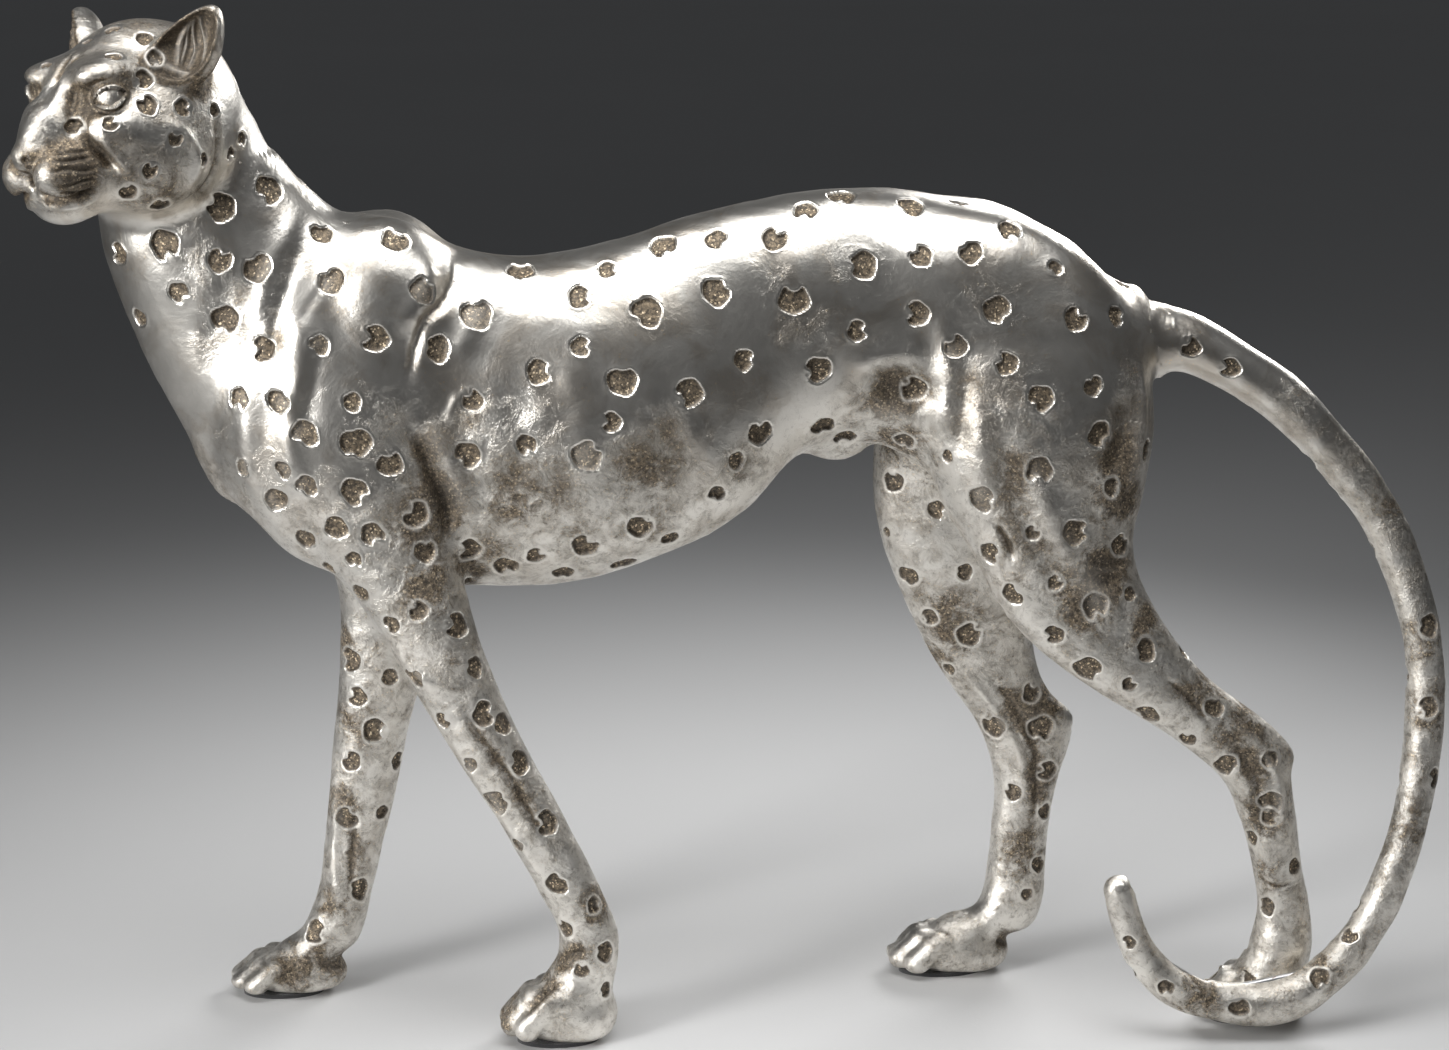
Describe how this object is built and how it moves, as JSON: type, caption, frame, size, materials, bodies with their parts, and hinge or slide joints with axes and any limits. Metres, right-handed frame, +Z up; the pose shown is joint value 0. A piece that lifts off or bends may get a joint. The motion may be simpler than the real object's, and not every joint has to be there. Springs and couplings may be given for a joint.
{
  "type": "decorative big cat figure",
  "caption": "Free-standing silver-finished figure of a walking spotted leopard, head turned to its left, with a long tail curled down beside the hind paw.",
  "frame": {"origin": "centre of the figure's outline, on the floor that its paws stand on", "axes": "+Z up; the animal faces -X, its left flank faces -Y and its tail is at +X"},
  "size_m": [0.5266, 0.1001, 0.3919],
  "materials": {
    "silvered_resin": "satin",
    "steel_rod": "satin",
    "felt": "matte"
  },
  "bodies": {
    "root": {"torso_casting": "silvered_resin", "belly_plug": "silvered_resin", "head_casting": "silvered_resin", "left_foreleg": "silvered_resin", "right_foreleg": "silvered_resin", "left_hind_leg": "silvered_resin", "right_hind_leg": "silvered_resin", "tail_casting": "silvered_resin", "left_foreleg_rod": "steel_rod", "right_foreleg_rod": "steel_rod", "left_hind_leg_rod": "steel_rod", "right_hind_leg_rod": "steel_rod", "neck_dowels": "steel_rod", "tail_wire": "steel_rod", "left_foreleg_pad": "felt", "right_foreleg_pad": "felt", "left_hind_leg_pad": "felt", "right_hind_leg_pad": "felt"}
  },
  "joints": []
}
